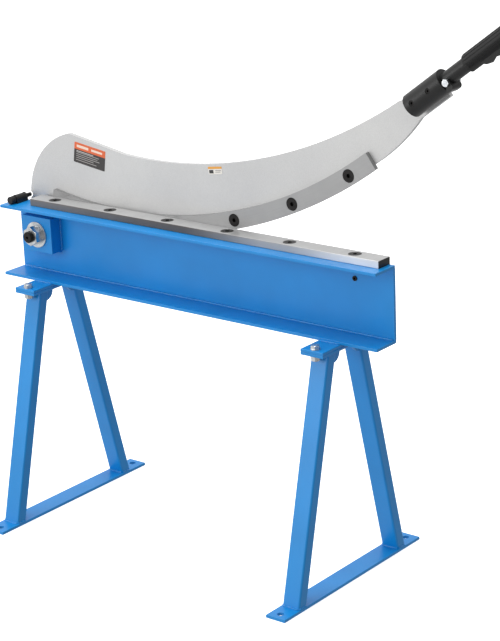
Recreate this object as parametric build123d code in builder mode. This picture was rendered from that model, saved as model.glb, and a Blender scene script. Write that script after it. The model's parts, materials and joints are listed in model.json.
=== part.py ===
from build123d import *
import os
from math import atan, cos, radians, sin, sqrt

# Hand lever shear for sheet metal on a two-trestle stand, in millimetres.
# X runs along the beam from the pivot end to the handle end, Y away from the operator, Z up.
# The origin is on the floor, midway between the four foot-bar holes.

os.makedirs("parts", exist_ok=True)

# ---------------------------------------------------------------- driving sizes
# beam, welded from two flanges and a web
beam_length = 960.0
beam_height = 153.0
beam_depth = 64.0
flange_t = 6.0
web_t = 6.0
edge_round = 0.8
web_inset = 2.5

# stand
trestle_height = 492.0
trestle_inset = 110.0
foot_length = 456.0
foot_width = 45.0
foot_t = 6.0
foot_hole_r = 7.0
foot_hole_inset = 17.0
leg_width = 40.0
leg_depth = 25.0
leg_wall = 2.0
leg_corner_r = 4.0
leg_top_y = 62.0
leg_foot_y = 180.0
plate_width = 52.0
plate_reach = 88.0
plate_t = 6.0
ear_t = 6.0
plate_edge_r = 1.0
gusset_t = 6.0
gusset_crown = 2.5
gusset_fillet_r = 20.0
gusset_inset = 3.0
stand_bolt_y = 76.0

# threads and fasteners: nominal radius, hexagon across flats, nut and head heights
m12_r = 6.0
m12_flats = 18.0
m12_nut_t = 10.0
m12_thread_end = 2.5
m10_r = 5.0
m10_flats = 16.0
m10_nut_t = 8.0
m10_head_t = 6.4
m10_washer_r = 10.0
m10_washer_t = 2.0
m10_thread_end = 1.5
m6_r = 3.0
m6_flats = 10.0
m6_nut_t = 5.0
m6_cap_r = 5.0
m6_cap_t = 6.0
m8_r = 4.0
m8_flats = 13.0
m8_nut_t = 6.5
m8_head_t = 5.3
thread_clearance = 0.05
hole_clearance = 0.5
seat_clearance = 0.1
hex_bevel = 0.6

# lower blade on the top flange
blade_length = 885.0
blade_width = 37.0
blade_t = 15.0
blade_inset = 63.0
blade_proud = 0.5
blade_hole_inset = 54.0
blade_hole_pitch = 153.0
blade_hole_count = 6
csk_head_r = 13.0
csk_sink = 0.3
csk_angle = 90.0
csk_socket_flats = 8.0
csk_socket_depth = 5.0

# pivot
pivot_inset = 75.0
pivot_drop = 61.0
pivot_r = 12.0
pivot_clearance = 0.1
pivot_running = 0.05
pivot_block_w = 82.0
pivot_block_h = 76.0
pivot_block_t = 30.0
pivot_nut_flats = 36.0
pivot_nut_t = 15.0
pivot_washer_r = 27.5
pivot_washer_t = 3.0
spring_washer_r = 19.5
spring_washer_t = 4.0
pivot_end = 8.0
pivot_head_t = 15.0
centre_hole_r = 3.0
centre_hole_depth = 4.0
spacer_r = 28.0
rear_washer_r = 25.0
side_play = 0.4

# arm plate; its outline is given from the pivot axis, X then Z
blade_clearance = 0.4
knife_t = 10.0
arm_t = 10.0
hub_r = 55.0
head_centre = (102.0, 62.0)
head_apex_x = 65.0
head_apex_r = 25.0
saddle_start = (215.0, 188.5)
back_curve = [(320.0, 185.5), (513.0, 209.0), (740.0, 285.0)]
back_end = (892.0, 369.5)
throat_mid = (894.0, 291.0)
lower_edge_start_deg = -3.5
bush_r = 15.0
boss_r = 32.0
boss_t = 10.0
lock_notch_r = 6.0

# knife: a curved bar bolted to the front of the arm
knife_centre = (222.0, 1094.0)
knife_edge_r = 1058.0
knife_width = 36.0
knife_overhang = 10.0
knife_start_deg = -11.3
knife_end_deg = 36.0
knife_hole_start_deg = 32.6
knife_hole_step_deg = 8.43
knife_hole_count = 5

# handle socket, rod and grip, along an axis that starts at handle_start
handle_start = (935.5, 370.0)
handle_deg = 36.5
rod_r = 14.0
socket_r = rod_r + 9.0
socket_flat = 1.5
socket_length = 90.0
socket_bolts = [17.0, 60.0]
socket_cap_depth = 7.0
tongue_top = 20.0
tongue_low = 24.5
tongue_end = 66.0
tongue_back = 20.0
throat_corner = -12.0
rod_clearance = 0.15
rod_start = 6.0
rod_end = 360.0
saddle_length = 15.0
saddle_nose_r = 7.0
saddle_low = rod_r + 10.0
saddle_high = 4.0
saddle_half_width = rod_r + 1.0
keeper_along = 8.5
keeper_drop = 7.0
grip_start = 147.5
grip_end = 365.0
grip_r = rod_r + 3.5
grip_chamfer = 1.5
grip_cap_t = 8.0
finger_first = 178.0
finger_pitch = 27.0
finger_rise = 9.0
finger_crest = 6.0
finger_root = 1.0
finger_half_width = 11.0
finger_count = 6
grip_cap_r = grip_r + 3.0

# lock pin on the top flange
lock_x_inset = 19.5
lock_width = 17.0
lock_front_y = -8.0
lock_back_y = 25.0
lock_wall = 6.0
lock_chamber_r = 6.2
lock_pin_r = 4.5
lock_stem_r = 3.0
lock_running = 0.05
lock_collar_r = 6.0
lock_collar_t = 2.5
lock_tip_gap = 0.6
lock_spring_length = 12.0
lock_knob_r = 8.0
lock_knob_t = 13.0
lock_knob_gap = 0.4
spring_wire_r = 0.5
spring_mean_r = 4.5
spring_turns = 4
grub_r = 2.0
grub_t = 4.0
grub_proud = 0.6
grub_socket_flats = 2.0
grub_socket_depth = 2.0

# web and labels
guide_screw_inset = 88.0
guide_screw_drop = 38.0
guide_screw_length = 8.0
guide_screw_flats = 5.0
guide_screw_socket = 4.0
label_t = 0.4
label_size = (85.0, 43.0)
label_centre = (121.0, 172.5)
label_deg = -8.0
small_label_size = (35.0, 15.0)
small_label_centre = (454.0, 185.0)
small_label_deg = 8.0
label_corner_r = 2.0

# ---------------------------------------------------------------- derived places
beam_left = -beam_length / 2
beam_right = beam_length / 2
beam_back = beam_depth / 2
beam_base = trestle_height + ear_t
beam_top = beam_base + beam_height
web_front = beam_back - web_t

blade_left = beam_left + blade_inset
blade_back = beam_back + blade_proud
blade_top = beam_top + blade_t
blade_mid_y = blade_back - blade_width / 2
blade_holes = [
    (blade_left + blade_hole_inset + blade_hole_pitch * i, blade_mid_y) for i in range(blade_hole_count)
]

pivot_x = beam_left + pivot_inset
pivot_z = beam_top - pivot_drop
block_front = web_front - pivot_block_t
knife_front = blade_back + blade_clearance
arm_front = knife_front + knife_t
arm_back = arm_front + arm_t
boss_back = arm_back + boss_t
head_r = head_centre[0] + hub_r
arm_edge_r = knife_edge_r - knife_overhang
csk_seat_r = csk_head_r + csk_sink + seat_clearance

trestle_xs = {
    "left": beam_left + trestle_inset,
    "right": beam_right - trestle_inset,
}
leg_top_z = trestle_height - plate_t
leg_lean = atan((leg_foot_y - leg_top_y - leg_depth) / (leg_top_z - foot_t))
leg_run = leg_depth / cos(leg_lean)
socket_y = arm_front - socket_r + socket_flat


def save(part, name):
    """Label one finished piece and write it."""
    part.label = name
    export_step(part, f"parts/{name}.step")


def y_plane(y):
    """A plane facing the operator at depth y; its own x is X and its own y is Z."""
    return Plane.XZ.offset(-y)


def arm_point(point):
    """A point given from the pivot axis, in X and Z."""
    return (pivot_x + point[0], pivot_z + point[1])


def polar_point(radius, degrees):
    """A point on a circle about the knife's centre, with 0 degrees straight down."""
    x = knife_centre[0] + radius * sin(radians(degrees))
    z = knife_centre[1] - radius * cos(radians(degrees))
    return arm_point((x, z))


def handle_point(along, across):
    """A point beside the handle axis, across counted upwards."""
    x = handle_start[0] + along * cos(radians(handle_deg)) - across * sin(radians(handle_deg))
    z = handle_start[1] + along * sin(radians(handle_deg)) + across * cos(radians(handle_deg))
    return arm_point((x, z))


def handle_plane(along):
    """A plane across the handle axis; its own x faces the operator, its own y points down."""
    x, z = handle_point(along, 0)
    return Plane(
        origin=(x, socket_y, z),
        x_dir=(0, -1, 0),
        z_dir=(cos(radians(handle_deg)), 0, sin(radians(handle_deg))),
    )


def ring(plane, centres, length, outer_r, inner_r):
    """Equal rings standing on a plane."""
    with BuildPart() as rings:
        with BuildSketch(plane):
            with Locations(*centres):
                Circle(outer_r)
                Circle(inner_r, mode=Mode.SUBTRACT)
        extrude(amount=length)
    return rings.part


def hexagon(flats, thickness, turn, both_ends=True):
    """One hexagon standing on the XY plane, its corners turned down at one end or both."""
    corner_r = flats / sqrt(3)
    drop = (corner_r - flats / 2) * hex_bevel
    with BuildPart() as hexagon_bar:
        with BuildSketch():
            RegularPolygon(radius=flats / 2, side_count=6, major_radius=False, rotation=turn)
        extrude(amount=thickness)
        with BuildSketch(Plane.XZ):
            with BuildLine():
                Polyline(
                    (0, 0),
                    (flats / 2 if both_ends else corner_r, 0),
                    (corner_r, drop if both_ends else 0.1),
                    (corner_r, thickness - drop),
                    (flats / 2, thickness),
                    (0, thickness),
                    close=True,
                )
            make_face()
        revolve(axis=Axis.Z, mode=Mode.INTERSECT)
    return hexagon_bar.part


def hex_nuts(plane, centres, flats, thickness, bore_r, turn=30):
    """Equal hexagon nuts standing on a plane, a corner at the turn angle from its own x."""
    blank = hexagon(flats, thickness, turn)
    with BuildPart() as nuts:
        with Locations(plane):
            with Locations(*centres):
                add(blank)
        with BuildSketch(plane):
            with Locations(*centres):
                Circle(bore_r)
        extrude(amount=thickness, mode=Mode.SUBTRACT)
    return nuts.part


def countersunk_screws(plane, centres, length):
    """M12 countersunk screws with a socket, their heads in the plane."""
    with BuildPart(plane) as screws:
        with Locations(*centres):
            Cone(m12_r, csk_head_r, csk_head_r - m12_r, align=(Align.CENTER, Align.CENTER, Align.MAX))
            Cylinder(m12_r, length, align=(Align.CENTER, Align.CENTER, Align.MAX))
        with BuildSketch(plane):
            with Locations(*centres):
                RegularPolygon(radius=csk_socket_flats / 2, side_count=6, major_radius=False)
        extrude(amount=-csk_socket_depth, mode=Mode.SUBTRACT)
    return screws.part


# ---------------------------------------------------------------- beam
with BuildPart() as top_flange:
    with BuildSketch(Plane.XY.offset(beam_top - flange_t)):
        Rectangle(beam_length, beam_depth)
    extrude(amount=flange_t)
    fillet(top_flange.edges(), edge_round)
    with BuildSketch(Plane.XY.offset(beam_top - flange_t)):
        with Locations(*blade_holes):
            Circle(m12_r + hole_clearance)
    extrude(amount=flange_t, mode=Mode.SUBTRACT)
save(top_flange.part, "top_flange")

with BuildPart() as bottom_flange:
    with BuildSketch(Plane.XY.offset(beam_base)):
        Rectangle(beam_length, beam_depth)
    extrude(amount=flange_t)
    fillet(bottom_flange.edges(), edge_round)
save(bottom_flange.part, "bottom_flange")

guide_screw_at = (beam_right - guide_screw_inset, beam_top - guide_screw_drop)
with BuildPart() as beam_web:
    with BuildSketch(y_plane(beam_back)):
        with Locations((web_inset / 2, beam_base + beam_height / 2)):
            Rectangle(beam_length - web_inset, beam_height - 2 * flange_t)
        with Locations((pivot_x, pivot_z)):
            Circle(pivot_r + pivot_clearance, mode=Mode.SUBTRACT)
        with Locations(guide_screw_at):
            Circle(m10_r + thread_clearance, mode=Mode.SUBTRACT)
    extrude(amount=web_t)
save(beam_web.part, "beam_web")

guide_screw_front = beam_back - guide_screw_length
with BuildPart() as guide_screw:
    with BuildSketch(y_plane(beam_back)):
        with Locations(guide_screw_at):
            Circle(m10_r)
    extrude(amount=guide_screw_length)
    with BuildSketch(y_plane(guide_screw_front + guide_screw_socket)):
        with Locations(guide_screw_at):
            RegularPolygon(radius=guide_screw_flats / 2, side_count=6, major_radius=False)
    extrude(amount=guide_screw_socket, mode=Mode.SUBTRACT)
save(guide_screw.part, "guide_screw")

with BuildPart() as pivot_block:
    with BuildSketch(y_plane(web_front)):
        with Locations((pivot_x, pivot_z)):
            Rectangle(pivot_block_w, pivot_block_h)
    extrude(amount=pivot_block_t)
    fillet(pivot_block.edges().filter_by(Axis.Y), 2 * edge_round)
    fillet(pivot_block.faces().sort_by(Axis.Y)[0].edges(), edge_round)
    with BuildSketch(y_plane(web_front)):
        with Locations((pivot_x, pivot_z)):
            Circle(pivot_r + pivot_clearance)
    extrude(amount=pivot_block_t, mode=Mode.SUBTRACT)
save(pivot_block.part, "pivot_block")

# ---------------------------------------------------------------- lower blade
with BuildPart() as lower_blade:
    with BuildSketch(Plane.XY.offset(beam_top)):
        with Locations((blade_left + blade_length / 2, blade_mid_y)):
            Rectangle(blade_length, blade_width)
    extrude(amount=blade_t)
    chamfer(lower_blade.edges().group_by(Axis.Y)[0].filter_by(Axis.X), edge_round)
    with Locations(Plane.XY.offset(blade_top)):
        with Locations(*blade_holes):
            CounterSinkHole(m12_r + hole_clearance, csk_seat_r, blade_t, csk_angle)
save(lower_blade.part, "lower_blade")

blade_screw_plane = Plane.XY.offset(blade_top - csk_sink)
blade_screw_length = blade_t + flange_t + m12_nut_t + m12_thread_end
save(countersunk_screws(blade_screw_plane, blade_holes, blade_screw_length), "blade_screws")

blade_nut_plane = Plane.XY.offset(beam_top - flange_t - m12_nut_t)
save(hex_nuts(blade_nut_plane, blade_holes, m12_flats, m12_nut_t, m12_r + thread_clearance), "blade_nuts")

# ---------------------------------------------------------------- pivot
pivot_centre = [(pivot_x, pivot_z)]
washer_front = block_front - pivot_washer_t
nut_back = washer_front - spring_washer_t
nut_front = nut_back - pivot_nut_t
bolt_front = nut_front - pivot_end
rear_washer_front = boss_back + side_play
rear_washer_back = rear_washer_front + pivot_washer_t
pivot_hole_r = pivot_r + pivot_clearance

save(
    ring(y_plane(block_front), pivot_centre, pivot_washer_t, pivot_washer_r, pivot_hole_r),
    "pivot_front_washer",
)
save(
    ring(y_plane(washer_front), pivot_centre, spring_washer_t, spring_washer_r, pivot_hole_r),
    "pivot_spring_washer",
)
save(
    hex_nuts(y_plane(nut_back), pivot_centre, pivot_nut_flats, pivot_nut_t, pivot_r + thread_clearance),
    "pivot_nut",
)
spacer_back = arm_front - side_play
save(
    ring(y_plane(spacer_back), pivot_centre, spacer_back - beam_back, spacer_r, pivot_hole_r),
    "pivot_spacer",
)
save(
    ring(y_plane(rear_washer_back), pivot_centre, pivot_washer_t, rear_washer_r, pivot_hole_r),
    "pivot_rear_washer",
)

with BuildPart() as pivot_bolt:
    with Locations(Plane((pivot_x, rear_washer_back, pivot_z), x_dir=(1, 0, 0), z_dir=(0, 1, 0))):
        add(hexagon(pivot_nut_flats, pivot_head_t, 30, both_ends=False))
    with BuildSketch(y_plane(rear_washer_back)):
        with Locations(*pivot_centre):
            Circle(pivot_r)
    extrude(amount=rear_washer_back - bolt_front)
    chamfer(pivot_bolt.faces().sort_by(Axis.Y)[0].edges(), 2 * edge_round)
    with BuildSketch(y_plane(bolt_front + centre_hole_depth)):
        with Locations(*pivot_centre):
            Circle(centre_hole_r)
    extrude(amount=centre_hole_depth, mode=Mode.SUBTRACT)
save(pivot_bolt.part, "pivot_bolt")

save(ring(y_plane(boss_back), pivot_centre, boss_t, boss_r, bush_r), "arm_boss")
save(
    ring(y_plane(boss_back), pivot_centre, boss_t + arm_t, bush_r, pivot_r + pivot_running),
    "pivot_bush",
)

# ---------------------------------------------------------------- arm plate
lock_x = beam_left + lock_x_inset
lock_z = beam_top + lock_width / 2
knife_holes = [
    polar_point(knife_edge_r - knife_width / 2, knife_hole_start_deg - knife_hole_step_deg * i)
    for i in range(knife_hole_count)
]
socket_bolt_points = [handle_point(s, 0) for s in socket_bolts]

head_apex = (head_apex_x, head_centre[1] + sqrt(head_r**2 - (head_apex_x - head_centre[0]) ** 2))
head_side_deg = radians(150)
head_side = (head_centre[0] + head_r * cos(head_side_deg), head_centre[1] + head_r * sin(head_side_deg))
edge_end = polar_point(arm_edge_r, knife_end_deg)
edge_mid = polar_point(arm_edge_r, (knife_end_deg + lower_edge_start_deg) / 2)
edge_start = polar_point(arm_edge_r, lower_edge_start_deg)

with BuildPart() as arm_plate:
    with BuildSketch(y_plane(arm_back)) as arm_outline:
        with BuildLine():
            Line(arm_point((0, -hub_r)), arm_point((-hub_r, 0)))
            Line(arm_point((-hub_r, 0)), arm_point((-hub_r, head_centre[1])))
            ThreePointArc(arm_point((-hub_r, head_centre[1])), arm_point(head_side), arm_point(head_apex))
            Line(arm_point(head_apex), arm_point(saddle_start))
            Spline(
                arm_point(saddle_start),
                *[arm_point(p) for p in back_curve],
                arm_point(back_end),
            )
            Polyline(
                arm_point(back_end),
                handle_point(-tongue_back, tongue_top),
                handle_point(tongue_end, tongue_top),
                handle_point(tongue_end, -tongue_low),
                handle_point(throat_corner, -tongue_low),
            )
            ThreePointArc(handle_point(throat_corner, -tongue_low), arm_point(throat_mid), edge_end)
            ThreePointArc(edge_end, edge_mid, edge_start)
            Line(edge_start, arm_point((0, -hub_r)))
        make_face()
        apex = arm_outline.vertices().sort_by_distance(Vector(*arm_point(head_apex)))[0]
        fillet(apex, head_apex_r)
        with Locations((pivot_x, pivot_z)):
            Circle(hub_r)
            Circle(bush_r, mode=Mode.SUBTRACT)
        with Locations((lock_x, lock_z)):
            Circle(lock_notch_r, mode=Mode.SUBTRACT)
        with Locations(*knife_holes):
            Circle(m12_r + hole_clearance, mode=Mode.SUBTRACT)
        with Locations(*socket_bolt_points):
            Circle(m6_r + hole_clearance, mode=Mode.SUBTRACT)
    extrude(amount=arm_t)
save(arm_plate.part, "arm_plate")

# ---------------------------------------------------------------- knife
knife_sweep = knife_end_deg - knife_start_deg
with BuildPart() as upper_knife:
    with BuildSketch(y_plane(arm_front)):
        with BuildLine():
            inner_arc = CenterArc(
                arm_point(knife_centre), knife_edge_r - knife_width, knife_start_deg - 90, knife_sweep
            )
            outer_arc = CenterArc(arm_point(knife_centre), knife_edge_r, knife_start_deg - 90, knife_sweep)
            Line(inner_arc @ 0, outer_arc @ 0)
            Line(inner_arc @ 1, outer_arc @ 1)
        make_face()
    extrude(amount=knife_t)
    with Locations(y_plane(knife_front)):
        with Locations(*knife_holes):
            CounterSinkHole(m12_r + hole_clearance, csk_seat_r, knife_t, csk_angle)
save(upper_knife.part, "upper_knife")

knife_screw_length = knife_t + arm_t + m12_nut_t + m12_thread_end
save(countersunk_screws(y_plane(knife_front + csk_sink), knife_holes, knife_screw_length), "knife_screws")
save(
    hex_nuts(y_plane(arm_back + m12_nut_t), knife_holes, m12_flats, m12_nut_t, m12_r + thread_clearance),
    "knife_nuts",
)

# ---------------------------------------------------------------- handle
socket_front = socket_y - socket_r
cap_seat = socket_front + socket_cap_depth
with BuildPart() as handle_socket:
    with BuildSketch(handle_plane(0)):
        Circle(socket_r)
        with Locations((-socket_r - arm_t / 2 + socket_flat, 0)):
            Rectangle(arm_t, 2 * socket_r, mode=Mode.SUBTRACT)
        Circle(rod_r + rod_clearance, mode=Mode.SUBTRACT)
    extrude(amount=socket_length)
    with BuildSketch(y_plane(arm_front)):
        with Locations(*socket_bolt_points):
            Circle(m6_r + hole_clearance)
    extrude(amount=2 * socket_r, mode=Mode.SUBTRACT)
    with BuildSketch(y_plane(cap_seat)):
        with Locations(*socket_bolt_points):
            Circle(m6_cap_r + hole_clearance)
    extrude(amount=2 * socket_cap_depth, mode=Mode.SUBTRACT)
save(handle_socket.part, "handle_socket")

with BuildPart() as socket_screws:
    with BuildSketch(y_plane(arm_back + m6_nut_t + 1)):
        with Locations(*socket_bolt_points):
            Circle(m6_r)
    extrude(amount=arm_back + m6_nut_t + 1 - cap_seat)
    with BuildSketch(y_plane(cap_seat)):
        with Locations(*socket_bolt_points):
            Circle(m6_cap_r)
    extrude(amount=m6_cap_t)
    with BuildSketch(y_plane(cap_seat - m6_cap_t + 3)):
        with Locations(*socket_bolt_points):
            RegularPolygon(radius=2.5, side_count=6, major_radius=False)
    extrude(amount=3, mode=Mode.SUBTRACT)
save(socket_screws.part, "socket_screws")
save(
    hex_nuts(y_plane(arm_back + m6_nut_t), socket_bolt_points, m6_flats, m6_nut_t, m6_r + thread_clearance),
    "socket_nuts",
)

keeper_point = [handle_point(socket_length + keeper_along, -keeper_drop)]
keeper_front = socket_y - saddle_half_width
keeper_back = socket_y + saddle_half_width
with BuildPart() as handle_rod:
    with BuildSketch(handle_plane(rod_start)):
        Circle(rod_r)
    extrude(amount=rod_end - rod_start)
    with BuildSketch(y_plane(socket_y + 2 * rod_r)):
        with Locations(*socket_bolt_points):
            Circle(m6_r + hole_clearance)
        with Locations(*keeper_point):
            Circle(m8_r + hole_clearance)
    extrude(amount=4 * rod_r, mode=Mode.SUBTRACT)
save(handle_rod.part, "handle_rod")

with BuildPart() as handle_saddle:
    with BuildSketch(handle_plane(socket_length)):
        with Locations((0, (saddle_low + saddle_high) / 2)):
            Rectangle(2 * saddle_half_width, saddle_low - saddle_high)
    extrude(amount=saddle_length)
    fillet(handle_saddle.edges().filter_by(Axis.Y).sort_by(Axis.X)[-1], saddle_nose_r)
    with BuildSketch(handle_plane(socket_length)):
        Circle(rod_r + rod_clearance)
    extrude(amount=saddle_length, mode=Mode.SUBTRACT)
    with BuildSketch(y_plane(keeper_back)):
        with Locations(*keeper_point):
            Circle(m8_r + hole_clearance)
    extrude(amount=2 * saddle_half_width, mode=Mode.SUBTRACT)
save(handle_saddle.part, "handle_saddle")

with BuildPart() as keeper_bolt:
    with BuildSketch(y_plane(keeper_back + m8_nut_t + 1)):
        with Locations(*keeper_point):
            Circle(m8_r)
    extrude(amount=keeper_back - keeper_front + m8_nut_t + 1)
    with Locations(y_plane(keeper_front)):
        with Locations(*keeper_point):
            add(hexagon(m8_flats, m8_head_t, 0, both_ends=False))
save(keeper_bolt.part, "keeper_bolt")
save(
    hex_nuts(y_plane(keeper_back + m8_nut_t), keeper_point, m8_flats, m8_nut_t, m8_r + thread_clearance),
    "keeper_nut",
)

with BuildPart() as handle_grip:
    with BuildSketch(handle_plane(grip_start)):
        Circle(grip_r)
    extrude(amount=grip_end - grip_start)
    chamfer(handle_grip.edges().sort_by(Axis.X)[0], grip_chamfer)
    with BuildSketch(y_plane(socket_y + finger_half_width)):
        for finger in range(finger_count):
            trough = finger_first + finger_pitch * finger
            with BuildLine():
                Polyline(
                    handle_point(trough, -rod_r),
                    handle_point(trough, finger_root - grip_r),
                    handle_point(trough + finger_rise, -grip_r - finger_crest),
                    handle_point(trough + finger_pitch, finger_root - grip_r),
                    handle_point(trough + finger_pitch, -rod_r),
                    close=True,
                )
            make_face()
    extrude(amount=2 * finger_half_width)
    with BuildSketch(handle_plane(grip_start)):
        Circle(rod_r)
    extrude(amount=rod_end - grip_start, mode=Mode.SUBTRACT)
save(handle_grip.part, "handle_grip")

with BuildPart() as grip_cap:
    with BuildSketch(handle_plane(grip_end)):
        Circle(grip_cap_r)
    extrude(amount=grip_cap_t)
    fillet(grip_cap.edges().sort_by(Axis.Z)[-1], grip_cap_t / 2)
save(grip_cap.part, "grip_cap")

# ---------------------------------------------------------------- lock pin
lock_centre = [(lock_x, lock_z)]
lock_length = lock_back_y - lock_front_y
grub_top = lock_z + lock_width / 2 + grub_proud
grub_points = [(lock_x, lock_front_y + lock_wall / 2), (lock_x, lock_back_y - lock_wall / 2)]
with BuildPart() as lock_body:
    with BuildSketch(y_plane(lock_back_y)):
        with Locations(*lock_centre):
            Circle(lock_width / 2)
        with Locations((lock_x, (beam_top + lock_z) / 2)):
            Rectangle(lock_width, lock_z - beam_top)
    extrude(amount=lock_length)
    with BuildSketch(y_plane(lock_back_y)):
        with Locations(*lock_centre):
            Circle(lock_pin_r + lock_running)
    extrude(amount=lock_wall, mode=Mode.SUBTRACT)
    with BuildSketch(y_plane(lock_back_y - lock_wall)):
        with Locations(*lock_centre):
            Circle(lock_chamber_r)
    extrude(amount=lock_length - 2 * lock_wall, mode=Mode.SUBTRACT)
    with BuildSketch(y_plane(lock_front_y + lock_wall)):
        with Locations(*lock_centre):
            Circle(lock_stem_r + lock_running)
    extrude(amount=lock_wall, mode=Mode.SUBTRACT)
    with BuildSketch(Plane.XY.offset(grub_top)):
        with Locations(*grub_points):
            Circle(grub_r + thread_clearance)
    extrude(amount=-grub_t, mode=Mode.SUBTRACT)
save(lock_body.part, "lock_body")

with BuildPart() as lock_grub_screws:
    with BuildSketch(Plane.XY.offset(grub_top)):
        with Locations(*grub_points):
            Circle(grub_r)
            RegularPolygon(grub_socket_flats / 2, side_count=6, major_radius=False, mode=Mode.SUBTRACT)
    extrude(amount=-grub_socket_depth)
    with BuildSketch(Plane.XY.offset(grub_top - grub_socket_depth)):
        with Locations(*grub_points):
            Circle(grub_r)
    extrude(amount=grub_socket_depth - grub_t)
save(lock_grub_screws.part, "lock_grub_screws")

chamber_front = lock_front_y + lock_wall
collar_front = chamber_front + lock_spring_length
pin_tip = arm_front - lock_tip_gap
knob_back = lock_front_y - lock_knob_gap
with BuildPart() as lock_pin:
    with BuildSketch(y_plane(pin_tip)):
        with Locations(*lock_centre):
            Circle(lock_pin_r)
    extrude(amount=pin_tip - collar_front)
    chamfer(lock_pin.faces().sort_by(Axis.Y)[-1].edges(), edge_round)
    with BuildSketch(y_plane(collar_front + lock_collar_t)):
        with Locations(*lock_centre):
            Circle(lock_collar_r)
    extrude(amount=lock_collar_t)
    with BuildSketch(y_plane(collar_front)):
        with Locations(*lock_centre):
            Circle(lock_stem_r)
    extrude(amount=collar_front - knob_back + lock_knob_t / 2)
save(lock_pin.part, "lock_pin")

with BuildPart() as lock_knob:
    with BuildSketch(y_plane(knob_back)):
        with Locations(*lock_centre):
            Circle(lock_knob_r)
    extrude(amount=lock_knob_t)
    fillet(lock_knob.edges(), 2 * edge_round)
    with BuildSketch(y_plane(knob_back)):
        with Locations(*lock_centre):
            Circle(lock_stem_r)
    extrude(amount=lock_knob_t / 2, mode=Mode.SUBTRACT)
save(lock_knob.part, "lock_knob")

spring_pitch = (lock_spring_length - 2 * spring_wire_r - seat_clearance) / spring_turns
spring_height = spring_pitch * spring_turns
spring_start = chamber_front + spring_wire_r + seat_clearance / 2
with BuildPart() as lock_spring:
    with BuildLine():
        coil = Helix(
            pitch=spring_pitch,
            height=spring_height,
            radius=spring_mean_r,
            center=(lock_x, spring_start, lock_z),
            direction=(0, 1, 0),
        )
    with BuildSketch(Plane(origin=coil @ 0, z_dir=coil % 0)):
        Circle(spring_wire_r)
    sweep(is_frenet=True)
save(lock_spring.part, "lock_spring")

# ---------------------------------------------------------------- labels on the arm
label_plane = y_plane(arm_front)
with BuildPart() as rating_label:
    with BuildSketch(label_plane):
        with Locations(Location((*arm_point(label_centre), 0), (0, 0, label_deg))):
            RectangleRounded(*label_size, label_corner_r)
    extrude(amount=label_t)
save(rating_label.part, "rating_label")

with BuildPart() as warning_label:
    with BuildSketch(label_plane):
        with Locations(Location((*arm_point(small_label_centre), 0), (0, 0, small_label_deg))):
            RectangleRounded(*small_label_size, label_corner_r)
    extrude(amount=label_t)
save(warning_label.part, "warning_label")

# ---------------------------------------------------------------- stand
foot_hole_y = foot_length / 2 - foot_hole_inset


def flat_plate(x, z, thickness):
    """The rectangular plate under the beam, with a bolt hole front and back."""
    with BuildPart() as plate:
        with BuildSketch(Plane.XY.offset(z)):
            with Locations((x, 0)):
                Rectangle(plate_width, 2 * plate_reach)
            with Locations((x, -stand_bolt_y), (x, stand_bolt_y)):
                Circle(m10_r + hole_clearance, mode=Mode.SUBTRACT)
        extrude(amount=thickness)
        fillet(plate.faces().filter_by(Axis.Z).edges().filter_by(GeomType.LINE), plate_edge_r)
    return plate.part


def foot_bar(x):
    """The flat bar on the floor with a hole at each end."""
    with BuildPart() as bar:
        with BuildSketch(Plane.XY):
            with Locations((x, 0)):
                Rectangle(foot_width, foot_length)
        extrude(amount=foot_t)
        fillet(bar.edges().filter_by(Axis.Y), edge_round)
        with BuildSketch(Plane.XY):
            with Locations((x, -foot_hole_y), (x, foot_hole_y)):
                Circle(foot_hole_r)
        extrude(amount=foot_t, mode=Mode.SUBTRACT)
    return bar.part


def leg(x, side):
    """A leaning rectangular tube; side is -1 for the front leg and +1 for the rear one."""
    outer = [
        (side * leg_foot_y, foot_t),
        (side * leg_top_y, leg_top_z),
        (side * (leg_top_y - leg_run), leg_top_z),
        (side * (leg_foot_y - leg_run), foot_t),
    ]
    wall = leg_wall / cos(leg_lean)
    inner = [
        (side * (leg_foot_y - wall), foot_t),
        (side * (leg_top_y - wall), leg_top_z),
        (side * (leg_top_y - leg_run + wall), leg_top_z),
        (side * (leg_foot_y - leg_run + wall), foot_t),
    ]
    with BuildPart() as tube:
        with BuildSketch(Plane.YZ.offset(x - leg_width / 2)):
            with BuildLine():
                Polyline(*outer, close=True)
            make_face()
        extrude(amount=leg_width)
        fillet(tube.edges().filter_by(lambda edge: edge.length > leg_top_z / 2), leg_corner_r)
        with BuildSketch(Plane.YZ.offset(x - leg_width / 2 + leg_wall)):
            with BuildLine():
                Polyline(*inner, close=True)
            make_face()
        extrude(amount=leg_width - 2 * leg_wall, mode=Mode.SUBTRACT)
    return tube.part


def gusset(x):
    """The arched plate between the tops of the two legs, close to their +X side."""
    half = leg_top_y - leg_run
    slope = (leg_foot_y - leg_top_y) / (leg_top_z - foot_t)
    depth = gusset_crown + gusset_fillet_r
    low = half + slope * depth
    crown = low - gusset_fillet_r
    with BuildPart() as web:
        with BuildSketch(Plane.YZ.offset(x + leg_width / 2 - gusset_inset)):
            with BuildLine():
                Polyline(
                    (-low, leg_top_z - depth), (-half, leg_top_z), (half, leg_top_z), (low, leg_top_z - depth)
                )
                RadiusArc(
                    (low, leg_top_z - depth), (crown, leg_top_z - gusset_crown), gusset_fillet_r
                )
                Line((crown, leg_top_z - gusset_crown), (-crown, leg_top_z - gusset_crown))
                RadiusArc(
                    (-crown, leg_top_z - gusset_crown), (-low, leg_top_z - depth), gusset_fillet_r
                )
            make_face()
        extrude(amount=-gusset_t)
    return web.part


for name, x in trestle_xs.items():
    save(flat_plate(x, trestle_height, ear_t), f"{name}_beam_ear")
    save(flat_plate(x, leg_top_z, plate_t), f"{name}_top_plate")
    save(foot_bar(x), f"{name}_foot_bar")
    save(leg(x, -1), f"{name}_front_leg")
    save(leg(x, 1), f"{name}_rear_leg")
    save(gusset(x), f"{name}_gusset")

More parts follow.
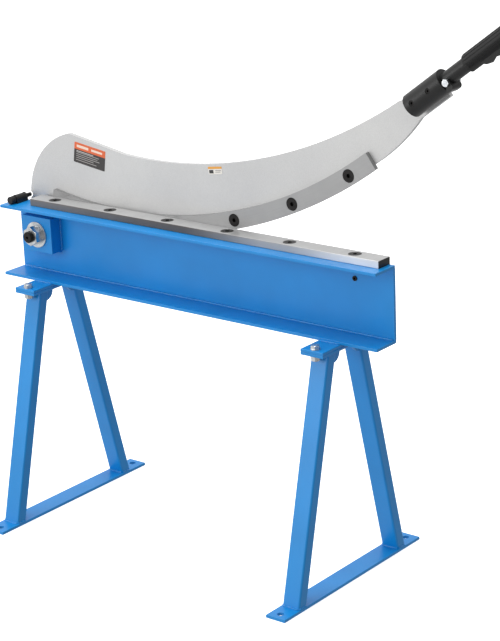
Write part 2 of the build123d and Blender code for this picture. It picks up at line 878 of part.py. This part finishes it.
# ---------------------------------------------------------------- fasteners between beam and stand
stand_bolts_at = [(x, y) for x in trestle_xs.values() for y in (-stand_bolt_y, stand_bolt_y)]
head_seat = beam_base + m10_washer_t
nut_seat = leg_top_z - m10_washer_t
bolt_end = nut_seat - m10_nut_t - m10_thread_end

with BuildPart() as stand_bolts:
    with BuildSketch(Plane.XY.offset(bolt_end)):
        with Locations(*stand_bolts_at):
            Circle(m10_r)
    extrude(amount=head_seat - bolt_end)
    with Locations(Plane.XY.offset(head_seat)):
        with Locations(*stand_bolts_at):
            add(hexagon(m10_flats, m10_head_t, 0, both_ends=False))
save(stand_bolts.part, "stand_bolts")

washer_bore_r = m10_r + hole_clearance
save(
    ring(Plane.XY.offset(beam_base), stand_bolts_at, m10_washer_t, m10_washer_r, washer_bore_r),
    "stand_upper_washers",
)
save(
    ring(Plane.XY.offset(nut_seat), stand_bolts_at, m10_washer_t, m10_washer_r, washer_bore_r),
    "stand_lower_washers",
)
nut_plane = Plane.XY.offset(nut_seat - m10_nut_t)
save(
    hex_nuts(nut_plane, stand_bolts_at, m10_flats, m10_nut_t, m10_r + thread_clearance, turn=0),
    "stand_nuts",
)
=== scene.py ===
import json
import math

import bpy
from mathutils import Matrix, Vector


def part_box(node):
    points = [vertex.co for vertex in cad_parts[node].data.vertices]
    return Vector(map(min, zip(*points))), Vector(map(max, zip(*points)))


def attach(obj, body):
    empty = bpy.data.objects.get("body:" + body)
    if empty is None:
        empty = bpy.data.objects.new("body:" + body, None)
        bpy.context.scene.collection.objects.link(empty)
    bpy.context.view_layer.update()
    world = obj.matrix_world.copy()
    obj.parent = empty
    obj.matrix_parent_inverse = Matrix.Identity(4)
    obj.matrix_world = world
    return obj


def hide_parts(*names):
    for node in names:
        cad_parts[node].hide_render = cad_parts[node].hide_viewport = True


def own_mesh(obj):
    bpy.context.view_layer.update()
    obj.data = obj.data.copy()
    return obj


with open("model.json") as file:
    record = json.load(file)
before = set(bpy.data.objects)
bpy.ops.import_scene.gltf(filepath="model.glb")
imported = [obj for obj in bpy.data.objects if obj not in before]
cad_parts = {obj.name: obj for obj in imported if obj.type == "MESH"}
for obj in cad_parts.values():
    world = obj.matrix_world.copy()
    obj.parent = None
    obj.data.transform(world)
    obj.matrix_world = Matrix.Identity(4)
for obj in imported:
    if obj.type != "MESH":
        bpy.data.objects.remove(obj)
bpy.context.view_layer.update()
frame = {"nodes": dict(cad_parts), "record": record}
nodes = frame["nodes"]

MM = 0.001


# ------------------------------------------------------------------ shader helpers
def paint_hex(value):
    """An sRGB hex colour as linear red, green, blue and alpha."""
    channels = [int(value[i:i + 2], 16) / 255 for i in (1, 3, 5)]
    linear = [c / 12.92 if c <= 0.04045 else ((c + 0.055) / 1.055) ** 2.4 for c in channels]
    return (*linear, 1.0)


def add_node(material, kind, settings=None, links=None):
    """Adds one shader node with its settings, its socket values and its links."""
    node = material.node_tree.nodes.new(kind)
    for name, value in (settings or {}).items():
        if isinstance(name, int) or name in node.inputs:
            node.inputs[name].default_value = value
        else:
            setattr(node, name, value)
    for name, output in (links or {}).items():
        material.node_tree.links.new(output, node.inputs[name])
    return node


def new_material(name, **shader_values):
    """A material with one principled shader; returns it and that shader."""
    material = bpy.data.materials.new(name)
    material.use_nodes = True
    shader = material.node_tree.nodes["Principled BSDF"]
    for socket, value in shader_values.items():
        shader.inputs[socket.replace("_", " ")].default_value = value
    return material, shader


def link(material, output, socket):
    """Joins one node's output to another's socket."""
    material.node_tree.links.new(output, socket)


def object_coordinates(material, stretch=(1, 1, 1), turn=(0, 0, 0), centre=(0, 0, 0)):
    """The piece's own coordinates, moved to a centre, turned and stretched."""
    place = add_node(material, "ShaderNodeTexCoord").outputs["Object"]
    moved = add_node(
        material, "ShaderNodeVectorMath",
        {"operation": "SUBTRACT", 1: centre}, {0: place},
    ).outputs["Vector"]
    return add_node(
        material, "ShaderNodeMapping",
        {"vector_type": "POINT", "Scale": stretch, "Rotation": turn}, {"Vector": moved},
    ).outputs["Vector"]


def noise(material, where, scale, detail=3.0, roughness=0.55):
    """Cloudy noise from nought to one."""
    return add_node(
        material, "ShaderNodeTexNoise",
        {"Scale": scale, "Detail": detail, "Roughness": roughness}, {"Vector": where},
    ).outputs["Fac"]


def ramp(material, value, stops, smooth=False):
    """A colour ramp; stops are (position, colour) pairs with hex colours or grey levels."""
    node = add_node(material, "ShaderNodeValToRGB", {}, {"Fac": value})
    if smooth:
        node.color_ramp.interpolation = "EASE"
    elements = node.color_ramp.elements
    while len(elements) < len(stops):
        elements.new(0.5)
    for element, (position, colour) in zip(elements, stops):
        element.position = position
        element.color = paint_hex(colour) if isinstance(colour, str) else (colour, colour, colour, 1)
    return node.outputs["Color"]


def bump(material, height, distance, strength):
    """A surface that stands out by a distance where its height is one."""
    return add_node(
        material, "ShaderNodeBump", {"Distance": distance, "Strength": strength}, {"Height": height}
    ).outputs["Normal"]


def mix_colour(material, factor, first, second, blend="MIX"):
    """Mixes two colours, each a hex value or an output, by a number or an output."""
    node = add_node(material, "ShaderNodeMix", {"data_type": "RGBA", "blend_type": blend})
    sockets = {0: factor, 6: first, 7: second}
    for index, value in sockets.items():
        if isinstance(value, str):
            node.inputs[index].default_value = paint_hex(value)
        elif isinstance(value, (int, float)):
            node.inputs[index].default_value = value
        else:
            link(material, value, node.inputs[index])
    return node.outputs[2]


# ------------------------------------------------------------------ materials
def blue_powder_coat():
    """Polyester powder coat, baked on: an even satin film with a very fine orange peel."""
    material, shader = new_material("blue_powder_coat", Roughness=0.32, Specular_IOR_Level=0.5)
    where = object_coordinates(material)
    cloud = noise(material, where, 9, 2)
    colour = ramp(material, cloud, [(0.3, "#0282CB"), (0.7, "#048AD6")])
    link(material, colour, shader.inputs["Base Color"])
    peel = noise(material, where, 1 / (2.4 * MM), 2)
    rough = ramp(material, peel, [(0.3, 0.3), (0.7, 0.4)])
    link(material, rough, shader.inputs["Roughness"])
    link(material, bump(material, peel, 0.06 * MM, 0.5), shader.inputs["Normal"])
    return material


def painted_weld():
    """The same powder coat run thick and glossy over the ripples of a weld bead."""
    material, shader = new_material("painted_weld", Roughness=0.2, Coat_Weight=0.4, Coat_Roughness=0.12)
    where = object_coordinates(material)
    spatter = noise(material, where, 1 / (3 * MM), 3)
    colour = ramp(material, spatter, [(0.3, "#0A80CC"), (0.7, "#2390DA")])
    link(material, colour, shader.inputs["Base Color"])
    link(material, bump(material, spatter, 0.2 * MM, 0.4), shader.inputs["Normal"])
    return material


def arm_silver_paint():
    """Silver-grey paint with fine aluminium flake on the arm plate."""
    material, shader = new_material("silver_paint", Metallic=0.25, Roughness=0.5)
    where = object_coordinates(material)
    cloud = noise(material, where, 6, 3)
    flake = noise(material, where, 1 / (0.9 * MM), 1)
    base = ramp(material, cloud, [(0.3, "#C8C8C8"), (0.7, "#D0D0CF")])
    fleck = ramp(material, flake, [(0.35, 0.88), (0.65, 1.0)])
    link(material, mix_colour(material, 1.0, base, fleck, "MULTIPLY"), shader.inputs["Base Color"])
    link(material, bump(material, flake, 0.04 * MM, 0.4), shader.inputs["Normal"])
    return material


def step_at(material, value, limit, width=0.4 * MM):
    """Nought below a limit and one above it, with a short blend between."""
    return add_node(
        material, "ShaderNodeMapRange",
        {"From Min": limit - width / 2, "From Max": limit + width / 2}, {"Value": value},
    ).outputs["Result"]


def split_axes(material, where):
    """The separate X, Y and Z of a place."""
    return add_node(material, "ShaderNodeSeparateXYZ", {}, {"Vector": where}).outputs


def lower_blade_steel():
    """Tool steel bar: its top is surface ground across; its sides carry painted shade, darker at the far end,
    and a painted reflection that brightens towards the handle end; its end is painted near black as painted
    shade."""
    material, shader = new_material("lower_blade_steel", Metallic=0.45, Roughness=0.36)
    low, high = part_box("lower_blade")
    grit_width, grit_length = 1.3 * MM, 70 * MM
    painted_shade_end_depth, top_skin = 0.5 * MM, 0.3 * MM
    grit = object_coordinates(material, (1 / grit_width, 1 / grit_length, 1 / grit_width))
    lines = noise(material, grit, 1, 3, 0.6)
    cloud = noise(material, object_coordinates(material), 14, 3)
    top = mix_colour(material, 0.4, ramp(material, lines, [(0.3, "#AEAEAE"), (0.7, "#C6C6C6")]),
                     ramp(material, cloud, [(0.3, "#B0B0B0"), (0.7, "#C8C8C8")]))
    axes = split_axes(material, object_coordinates(material))
    reach = add_node(
        material, "ShaderNodeMapRange", {"From Min": low.x, "From Max": high.x}, {"Value": axes["X"]}
    ).outputs["Result"]
    # painted shade and painted reflection along the side: darker at the far end, brightening towards the handle
    # end
    painted_reflection_shade_stops = [(0.0, "#807A75"), (0.45, "#625C57"), (0.75, "#B2B1B0"), (0.95, "#F2F1F0")]
    side = ramp(material, reach, painted_reflection_shade_stops, smooth=True)
    side = mix_colour(material, 0.25, side, cloud, "MULTIPLY")
    # painted shade: the end of the bar is painted near black
    side = mix_colour(material, step_at(material, axes["X"], high.x - painted_shade_end_depth), side, "#262524")
    colour = mix_colour(material, step_at(material, axes["Z"], high.z - top_skin), side, top)
    link(material, colour, shader.inputs["Base Color"])
    rough = ramp(material, lines, [(0.3, 0.32), (0.7, 0.44)])
    link(material, rough, shader.inputs["Roughness"])
    link(material, bump(material, lines, 0.03 * MM, 0.4), shader.inputs["Normal"])
    return material


def knife_bar_steel():
    """The knife's flat side, ground on a turning table: faint grit lines that follow its curve."""
    material, shader = new_material("knife_bar_steel", Metallic=0.7, Roughness=0.42)
    curve_centre = (-183 * MM, 0, 1684 * MM)
    grit_width, marks_per_radian = 1.4 * MM, 14.0
    axes = split_axes(material, object_coordinates(material, centre=curve_centre))
    flat = add_node(
        material, "ShaderNodeCombineXYZ", {}, {"X": axes["X"], "Y": axes["Z"]}
    ).outputs["Vector"]
    radius = add_node(
        material, "ShaderNodeVectorMath", {"operation": "LENGTH"}, {0: flat}
    ).outputs["Value"]
    angle = add_node(
        material, "ShaderNodeMath", {"operation": "ARCTAN2"}, {0: axes["X"], 1: axes["Z"]}
    ).outputs[0]
    polar = add_node(
        material, "ShaderNodeCombineXYZ", {}, {"X": radius, "Y": angle}
    ).outputs["Vector"]
    stretched = add_node(
        material, "ShaderNodeVectorMath",
        {"operation": "MULTIPLY", 1: (1 / grit_width, marks_per_radian, 1.0)}, {0: polar},
    ).outputs["Vector"]
    lines = noise(material, stretched, 1, 3, 0.6)
    cloud = noise(material, object_coordinates(material), 16, 3)
    colour = mix_colour(material, 0.5, ramp(material, lines, [(0.3, "#969696"), (0.7, "#A2A2A2")]),
                        ramp(material, cloud, [(0.3, "#949494"), (0.7, "#A4A4A4")]))
    link(material, colour, shader.inputs["Base Color"])
    rough = ramp(material, lines, [(0.3, 0.38), (0.7, 0.48)])
    link(material, rough, shader.inputs["Roughness"])
    link(material, bump(material, lines, 0.02 * MM, 0.4), shader.inputs["Normal"])
    return material


def bright_zinc():
    """Electroplated zinc: bright, faintly bluish, with soft spangle and handling marks."""
    material, shader = new_material("bright_zinc", Metallic=1.0, Roughness=0.25)
    where = object_coordinates(material)
    cloud = noise(material, where, 1 / (9 * MM), 3)
    colour = ramp(material, cloud, [(0.3, "#B9BDC2"), (0.7, "#DADCDC")])
    link(material, colour, shader.inputs["Base Color"])
    link(material, ramp(material, cloud, [(0.3, 0.2), (0.7, 0.36)]), shader.inputs["Roughness"])
    scratches = noise(material, where, 1 / (1.2 * MM), 2)
    link(material, bump(material, scratches, 0.03 * MM, 0.4), shader.inputs["Normal"])
    return material


def black_oxide():
    """Black oxide on steel: nearly black, oily satin, worn a little brown."""
    material, shader = new_material("black_oxide", Metallic=0.1, Roughness=0.45, Specular_IOR_Level=0.25)
    cloud = noise(material, object_coordinates(material), 1 / (5 * MM), 3)
    link(material, ramp(material, cloud, [(0.3, "#0D0C0C"), (0.7, "#1D1A19")]), shader.inputs["Base Color"])
    link(material, ramp(material, cloud, [(0.3, 0.3), (0.7, 0.48)]), shader.inputs["Roughness"])
    return material


def turned_bronze():
    """Tin bronze bush, turned on a lathe."""
    material, shader = new_material("turned_bronze", Metallic=1.0, Roughness=0.32)
    cloud = noise(material, object_coordinates(material), 1 / (6 * MM), 2)
    link(material, ramp(material, cloud, [(0.3, "#A9814A"), (0.7, "#C39B5F")]), shader.inputs["Base Color"])
    return material


def satin_black_paint():
    """Satin black enamel sprayed on the handle's steel: soft highlights, slight orange peel."""
    material, shader = new_material("satin_black_enamel", Roughness=0.4, Specular_IOR_Level=0.4)
    where = object_coordinates(material)
    cloud = noise(material, where, 1 / (18 * MM), 3)
    link(material, ramp(material, cloud, [(0.3, "#151515"), (0.7, "#1F1F1F")]), shader.inputs["Base Color"])
    peel = noise(material, where, 1 / (1.6 * MM), 2)
    link(material, ramp(material, peel, [(0.3, 0.3), (0.7, 0.46)]), shader.inputs["Roughness"])
    link(material, bump(material, peel, 0.06 * MM, 0.5), shader.inputs["Normal"])
    return material


def moulded_rubber():
    """Moulded PVC rubber: dull black with a matt pebble grain."""
    material, shader = new_material("moulded_rubber", Roughness=0.6, Specular_IOR_Level=0.4)
    where = object_coordinates(material)
    grain = noise(material, where, 1 / (0.9 * MM), 3)
    link(material, ramp(material, grain, [(0.3, "#161616"), (0.7, "#222222")]), shader.inputs["Base Color"])
    link(material, ramp(material, grain, [(0.3, 0.52), (0.7, 0.7)]), shader.inputs["Roughness"])
    link(material, bump(material, grain, 0.1 * MM, 0.5), shader.inputs["Normal"])
    return material


def spring_wire():
    """Drawn spring wire, lightly oiled."""
    material, shader = new_material("spring_wire", Metallic=1.0, Roughness=0.3)
    cloud = noise(material, object_coordinates(material), 1 / (2 * MM), 2)
    link(material, ramp(material, cloud, [(0.3, "#8A8A8A"), (0.7, "#A8A8A8")]), shader.inputs["Base Color"])
    return material


def printed_film(name, centre, turn, header, body, rows):
    """Printed polyester film: a plain header band, a dark field and rows of small bars, no lettering."""
    material, shader = new_material(name, Roughness=0.34, Coat_Weight=0.3, Coat_Roughness=0.1)
    where = object_coordinates(material, turn=(0, turn, 0), centre=centre)
    axes = split_axes(material, where)
    across, up = axes["X"], axes["Z"]
    header_ink, header_foot = header

    def compare(value, limit, operation="GREATER_THAN"):
        return add_node(
            material, "ShaderNodeMath", {"operation": operation, 1: limit}, {0: value}
        ).outputs[0]

    def both(first, second):
        return add_node(
            material, "ShaderNodeMath", {"operation": "MULTIPLY"}, {0: first, 1: second}
        ).outputs[0]

    colour = mix_colour(material, compare(up, header_foot), body, header_ink)
    for left, right, low, high, ink in rows:
        inside = both(
            both(compare(across, left), compare(across, right, "LESS_THAN")),
            both(compare(up, low), compare(up, high, "LESS_THAN")),
        )
        colour = mix_colour(material, inside, colour, ink)
    fine = noise(material, where, 1 / (0.8 * MM), 2)
    link(material, mix_colour(material, 0.06, colour, fine, "MULTIPLY"), shader.inputs["Base Color"])
    return material


# ------------------------------------------------------------------ CAD nodes and their finishes
blue = blue_powder_coat()
bead_paint = painted_weld()
silver = arm_silver_paint()
blade_steel = lower_blade_steel()
knife_steel = knife_bar_steel()
zinc = bright_zinc()
oxide = black_oxide()
bronze = turned_bronze()
enamel = satin_black_paint()
rubber = moulded_rubber()
wire = spring_wire()


def label_materials():
    """The two films on the arm, each centred on its own CAD plate."""
    low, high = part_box("rating_label")
    rating = printed_film(
        "rating_film", tuple((low + high) / 2), math.radians(-8),
        ("#E0622B", 0.0070), "#2A2626",
        [
            (-0.036, -0.004, 0.0115, 0.0170, "#F3D9C8"),
            (0.004, 0.034, 0.0120, 0.0165, "#F3D9C8"),
            (-0.036, 0.010, 0.0030, 0.0045, "#C9C5C2"),
            (-0.036, 0.026, 0.0005, 0.0018, "#A7A3A0"),
            (-0.036, 0.022, -0.0035, -0.0022, "#A7A3A0"),
            (-0.036, 0.028, -0.0075, -0.0062, "#A7A3A0"),
            (-0.036, 0.012, -0.0115, -0.0102, "#A7A3A0"),
            (-0.036, 0.020, -0.0160, -0.0147, "#A7A3A0"),
        ],
    )
    low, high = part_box("warning_label")
    warning = printed_film(
        "warning_film", tuple((low + high) / 2), math.radians(8),
        ("#E9A23A", 0.0030), "#E8E4DC",
        [
            (-0.0155, -0.0045, -0.0058, 0.0012, "#2B2B2B"),
            (0.0000, 0.0150, -0.0010, 0.0000, "#6A6662"),
            (0.0000, 0.0130, -0.0040, -0.0030, "#6A6662"),
        ],
    )
    return rating, warning


rating_film, warning_film = label_materials()

finish_of = {
    "blue_paint": blue, "arm_paint": silver, "knife_steel": knife_steel, "ground_steel": blade_steel,
    "zinc": zinc, "black_oxide": oxide, "bronze": bronze, "black_paint": enamel,
    "grip_rubber": rubber, "black_plastic": rubber, "spring_steel": wire, "label": rating_film,
}
for subpart in frame["record"]["subparts"]:
    piece = nodes[subpart["node"]]
    piece.data.materials.clear()
    piece.data.materials.append(finish_of[subpart["material_slot"]])
nodes["warning_label"].data.materials[0] = warning_film


# ------------------------------------------------------------------ weld beads
WELD_PITCH = 2.4 * MM
WELD_INSET = 4 * MM       # a seam stops this far short of an edge
WELD_SINK = 0.6 * MM      # how far a seam's middle line stands off its corner
TUBE_WELD = 0.8           # a seam on the trestles, as a share of one on the beam
RIPPLE_RADIUS = 2.9 * MM
RIPPLE_LENGTH = 0.72      # a ripple along the seam, as a share of its width
RIPPLE_CROWN = 1.2 * MM   # what is above this leans back
RIPPLE_LEAN = 0.7 * MM
LEG_WIDTH = 25.5 * MM     # a leaning leg, where a level plate meets it
LEG_LEAN = (180 - 62) * MM
LEG_WELD_RISE = 0.4 * MM


def settle(piece, name, body, material):
    """Names a finished piece, gives it its finish and lets it move with its body."""
    piece.name = name
    piece.data.name = name
    piece.data.materials.clear()
    piece.data.materials.append(material)
    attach(piece, body)
    return piece


def only(piece):
    """Selects one piece and nothing else."""
    bpy.ops.object.select_all(action="DESELECT")
    piece.select_set(True)
    bpy.context.view_layer.objects.active = piece


def weld_ripple():
    """One frozen ripple of a fillet weld, crowned and leaning back along the seam."""
    bpy.ops.object.select_all(action="DESELECT")
    bpy.ops.mesh.primitive_uv_sphere_add(segments=10, ring_count=6, radius=RIPPLE_RADIUS)
    ripple = bpy.context.object
    bpy.ops.object.mode_set(mode="EDIT")
    bpy.ops.transform.resize(value=(RIPPLE_LENGTH, 1, 1), center_override=(0, 0, 0))
    bpy.ops.mesh.select_all(action="DESELECT")
    bpy.ops.object.mode_set(mode="OBJECT")
    for vertex in ripple.data.vertices:
        vertex.select = vertex.co.z > RIPPLE_CROWN
    bpy.ops.object.mode_set(mode="EDIT")
    bpy.ops.transform.translate(value=(-RIPPLE_LEAN, 0, 0))
    bpy.ops.object.mode_set(mode="OBJECT")
    bpy.ops.object.shade_smooth()
    return ripple


def weld_seam(ripple, name, start, end, size=1.0):
    """A row of ripples from one point to another, welded on the stand."""
    start, end = Vector(start), Vector(end)
    run = end - start
    turn = run.to_track_quat("X", "Z").to_matrix().to_4x4()
    seam = ripple.copy()
    seam.data = ripple.data.copy()
    bpy.context.scene.collection.objects.link(seam)
    seam.data.transform(Matrix.Translation(start) @ turn @ Matrix.Scale(size, 4))
    row = seam.modifiers.new("ripples", "ARRAY")
    row.use_relative_offset = False
    row.use_constant_offset = True
    row.count = max(2, int(run.length / (WELD_PITCH * size)) + 1)
    row.constant_offset_displace = run / (row.count - 1)
    only(seam)
    bpy.ops.object.modifier_apply(modifier=row.name)
    return settle(seam, name, "stand", bead_paint)


def beam_welds(ripple):
    """The seams that hold the beam together, and the pivot block on its web."""
    web_low, web_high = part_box("beam_web")
    front = web_low.y - WELD_SINK
    foot, head = web_low.z + WELD_SINK, web_high.z - WELD_SINK
    start, finish = (web_low.x + WELD_INSET, front, foot), (web_high.x - WELD_INSET, front, foot)
    weld_seam(ripple, "web_foot_weld", start, finish)

    nuts_low, nuts_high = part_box("blade_nuts")
    nut_count, nut_flats, half_stitch = 6, 18 * MM, 40 * MM
    pitch = (nuts_high.x - nuts_low.x - nut_flats) / (nut_count - 1)
    for number in range(nut_count - 1):
        middle = nuts_low.x + nut_flats / 2 + pitch * (number + 0.5)
        start, finish = (middle - half_stitch, front, head), (middle + half_stitch, front, head)
        weld_seam(ripple, f"web_head_weld_{number + 1}", start, finish)

    block_low, block_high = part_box("pivot_block")
    block_sink = 0.8 * MM
    back = block_high.y - block_sink
    foot, head = block_low.z + WELD_INSET, block_high.z - WELD_INSET
    for side, x in (("left", block_low.x - WELD_SINK), ("right", block_high.x + WELD_SINK)):
        weld_seam(ripple, f"block_{side}_weld", (x, back, foot), (x, back, head))
    under = block_low.z - WELD_SINK
    start, finish = (block_low.x + WELD_INSET, back, under), (block_high.x - WELD_INSET, back, under)
    weld_seam(ripple, "block_foot_weld", start, finish)


def trestle_welds(ripple):
    """The seams round the foot and the top of each leg, and between the ear plates and the beam."""
    flange_low, flange_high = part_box("bottom_flange")
    for side in ("left", "right"):
        for place, sign in (("front", -1), ("rear", 1)):
            low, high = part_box(f"{side}_{place}_leg")
            foot_y = low.y if sign < 0 else high.y
            top_y = foot_y - sign * LEG_LEAN
            ends = (("foot", foot_y, low.z + LEG_WELD_RISE), ("top", top_y, high.z - LEG_WELD_RISE))
            for end, outer_y, z in ends:
                name = f"{side}_{place}_{end}"
                inner_y = outer_y - sign * LEG_WIDTH
                near, far = sorted((outer_y, inner_y))
                for face, y in (("outer", outer_y), ("inner", inner_y)):
                    start, finish = (low.x + WELD_INSET, y, z), (high.x - WELD_INSET, y, z)
                    weld_seam(ripple, f"{name}_{face}_weld", start, finish, TUBE_WELD)
                for edge, x in (("a", low.x), ("b", high.x)):
                    start, finish = (x, near + WELD_INSET, z), (x, far - WELD_INSET, z)
                    weld_seam(ripple, f"{name}_{edge}_weld", start, finish, TUBE_WELD)
        ear_low, ear_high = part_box(f"{side}_beam_ear")
        z = flange_low.z + WELD_SINK
        for place, y in (("front", flange_low.y), ("rear", flange_high.y)):
            start, finish = (ear_low.x + WELD_INSET, y, z), (ear_high.x - WELD_INSET, y, z)
            weld_seam(ripple, f"{side}_ear_{place}_weld", start, finish, TUBE_WELD)


one_ripple = weld_ripple()
beam_welds(one_ripple)
trestle_welds(one_ripple)
bpy.data.objects.remove(one_ripple)


# ------------------------------------------------------------------ spring inside the lock
def lock_coil():
    """The lock pin's return spring, a coil of round wire wound in four turns."""
    low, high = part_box("lock_spring")
    wire_r, turns, steps_in_a_turn = 0.5 * MM, 4, 20
    mean_r = (high.x - low.x) / 2 - wire_r
    middle = (low + high) / 2
    start = (middle.x, low.y + wire_r, middle.z)
    bpy.ops.object.select_all(action="DESELECT")
    bpy.ops.mesh.primitive_circle_add(vertices=8, radius=wire_r)
    coil = bpy.context.object
    coil.data.transform(Matrix.Rotation(math.pi / 2, 4, "X"))
    coil.data.transform(Matrix.Rotation(math.pi / 2, 4, "Z"))
    coil.data.transform(Matrix.Translation((0, 0, mean_r)))
    winding = coil.modifiers.new("winding", "SCREW")
    winding.axis = "Y"
    winding.angle = 2 * math.pi * turns
    winding.screw_offset = high.y - low.y - 2 * wire_r
    winding.steps = winding.render_steps = steps_in_a_turn * turns
    only(coil)
    bpy.ops.object.modifier_apply(modifier=winding.name)
    bpy.ops.object.mode_set(mode="EDIT")
    bpy.ops.mesh.select_all(action="SELECT")
    bpy.ops.mesh.fill_holes(sides=12)
    bpy.ops.mesh.select_all(action="SELECT")
    bpy.ops.mesh.normals_make_consistent(inside=False)
    bpy.ops.object.mode_set(mode="OBJECT")
    bpy.ops.object.shade_smooth()
    coil.data.transform(Matrix.Translation(start))
    settle(coil, "lock_coil", "stand", wire)
    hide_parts("lock_spring")
    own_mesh(coil)


lock_coil()


# ------------------------------------------------------------------ moulded detail on the grip
GRIP_TILT = math.radians(36.5)
GRIP_RADIUS = 17.5 * MM
GRIP_FROM, GRIP_TO = 151 * MM, 361 * MM
grip_axis = Vector((math.cos(GRIP_TILT), 0, math.sin(GRIP_TILT)))
grip_origin = Vector((0.5305, 0.0214, 0.960))


def onto_grip(along, round_axis):
    """Takes a shape made along X, with Z outwards, to its place on the grip."""
    level = Matrix.Rotation(-GRIP_TILT, 4, "Y")
    spin = Matrix.Rotation(round_axis, 4, "X")
    return Matrix.Translation(grip_origin + grip_axis * along) @ level @ spin


def join(pieces):
    """Makes one piece of several."""
    only(pieces[0])
    for piece in pieces:
        piece.select_set(True)
    bpy.ops.object.join()
    return bpy.context.object


def grip_ribs():
    """Long raised ribs over the back of the grip, with narrow grooves between them."""
    width, height, edge, sink = 4.9 * MM, 1.8 * MM, 0.7 * MM, 0.1 * MM
    reach, spacing = 88, 22  # degrees round the grip
    bpy.ops.object.select_all(action="DESELECT")
    bpy.ops.mesh.primitive_cube_add(size=1)
    rib = bpy.context.object
    rib.data.transform(Matrix.Diagonal((GRIP_TO - GRIP_FROM, width, height, 1)))
    bpy.ops.object.mode_set(mode="EDIT")
    bpy.ops.mesh.select_all(action="SELECT")
    bpy.ops.mesh.bevel(offset=edge, segments=2, affect="EDGES")
    bpy.ops.object.mode_set(mode="OBJECT")
    bpy.ops.object.shade_smooth_by_angle(angle=math.radians(40))
    ribs = []
    for degrees in range(-reach, reach + 1, spacing):
        copy = rib.copy()
        copy.data = rib.data.copy()
        bpy.context.scene.collection.objects.link(copy)
        out = Matrix.Translation((0, 0, GRIP_RADIUS - sink))
        copy.data.transform(onto_grip((GRIP_FROM + GRIP_TO) / 2, math.radians(degrees)) @ out)
        ribs.append(copy)
    bpy.data.objects.remove(rib)
    settle(join(ribs), "grip_ribs", "arm", rubber)


def grip_pads():
    """Short cross ribs on the two sides of the grip, under the thumb and under the palm."""
    side_turn, half_width = math.radians(116), math.radians(16)
    rib_radius, end_gap, pitch = 0.9 * MM, 4 * MM, 3 * MM
    pads = []
    for facing in (side_turn, -side_turn):
        bpy.ops.object.select_all(action="DESELECT")
        bpy.ops.mesh.primitive_torus_add(
            major_segments=48, minor_segments=6, major_radius=GRIP_RADIUS, minor_radius=rib_radius,
            rotation=(0, math.pi / 2, 0),
        )
        pad = bpy.context.object
        bpy.ops.object.transform_apply(location=False, rotation=True, scale=False)
        bpy.ops.object.mode_set(mode="EDIT")
        for sign in (1, -1):
            bpy.ops.mesh.select_all(action="SELECT")
            bpy.ops.mesh.bisect(
                plane_co=(0, 0, 0), plane_no=(0, sign * math.cos(half_width), -math.sin(half_width)),
                use_fill=True, clear_outer=True, clear_inner=False,
            )
        bpy.ops.object.mode_set(mode="OBJECT")
        bpy.ops.object.shade_smooth_by_angle(angle=math.radians(50))
        pad.data.transform(onto_grip(GRIP_FROM + end_gap, facing))
        row = pad.modifiers.new("row", "ARRAY")
        row.use_relative_offset = False
        row.use_constant_offset = True
        row.count = int((GRIP_TO - GRIP_FROM - 2 * end_gap) / pitch) + 1
        row.constant_offset_displace = grip_axis * pitch
        only(pad)
        bpy.ops.object.modifier_apply(modifier=row.name)
        pads.append(pad)
    settle(join(pads), "grip_side_ribs", "arm", rubber)


grip_ribs()
grip_pads()


# ------------------------------------------------------------------ floor, light and camera
def stage_floor():
    """A plain pale floor that reaches past everything the camera can see."""
    bpy.ops.mesh.primitive_plane_add(size=40, location=(0, 0, 0))
    floor = bpy.context.object
    floor.name = "floor"
    material, shader = new_material("pale_floor", Roughness=0.95, Specular_IOR_Level=0.0, Emission_Strength=0.6)
    shader.inputs["Emission Color"].default_value = paint_hex("#FFFFFF")
    speck = noise(material, object_coordinates(material), 2, 2)
    link(material, ramp(material, speck, [(0.3, "#F4F4F4"), (0.7, "#F7F7F7")]), shader.inputs["Base Color"])
    floor.data.materials.append(material)
    # the floor is seen but lights nothing: the soft light of the room reaches the object from below
    floor.visible_diffuse = False
    floor.visible_glossy = False


def softbox(name, place, aim, size, power):
    """A square area light at a place, turned to an aim point."""
    light = bpy.data.lights.new(name, "AREA")
    light.size = size
    light.energy = power
    lamp = bpy.data.objects.new(name, light)
    bpy.context.scene.collection.objects.link(lamp)
    lamp.location = place
    lamp.rotation_euler = (Vector(aim) - Vector(place)).to_track_quat("-Z", "Y").to_euler()


def studio():
    """Soft light from the front, the left and above, with less of it from the handle end."""
    world = bpy.data.worlds.new("studio")
    bpy.context.scene.world = world
    world.use_nodes = True
    way = add_node(world, "ShaderNodeTexCoord").outputs["Generated"]
    side = split_axes(world, way)["X"]
    strength = add_node(
        world, "ShaderNodeMapRange",
        {"From Min": -0.9, "From Max": 0.9, "To Min": 0.95, "To Max": 0.42}, {"Value": side},
    ).outputs["Result"]
    background = world.node_tree.nodes["Background"]
    background.inputs["Color"].default_value = paint_hex("#FFFFFF")
    link(world, strength, background.inputs["Strength"])
    softbox("front_light", (-1.6, -3.6, 1.6), (0, 0, 0.6), 2.6, 60)
    softbox("top_light", (-0.6, 0.2, 4.6), (0, 0, 0.6), 3.6, 130)
    bpy.context.scene.view_settings.view_transform = "Standard"


def camera():
    """The camera, by its heading round the object, its height angle, its roll and its distance."""
    heading, height, roll = math.radians(38.787), math.radians(18.328), math.radians(-2.366)
    target = Vector((0.1409, 0.018, 0.4879))
    distance, lens = 4.1666, 118.886
    back = Vector((
        math.sin(heading) * math.cos(height), -math.cos(heading) * math.cos(height), math.sin(height)
    ))
    level = Vector((math.cos(heading), math.sin(heading), 0))
    upright = level.cross(-back)
    right = level * math.cos(roll) + upright * math.sin(roll)
    up = upright * math.cos(roll) - level * math.sin(roll)
    data = bpy.data.cameras.new("camera")
    data.lens = lens
    seat = bpy.data.objects.new("camera", data)
    bpy.context.scene.collection.objects.link(seat)
    turn = Matrix((right, up, back)).transposed()
    seat.matrix_world = Matrix.Translation(target + back * distance) @ turn.to_4x4()
    bpy.context.scene.camera = seat


stage_floor()
studio()
camera()
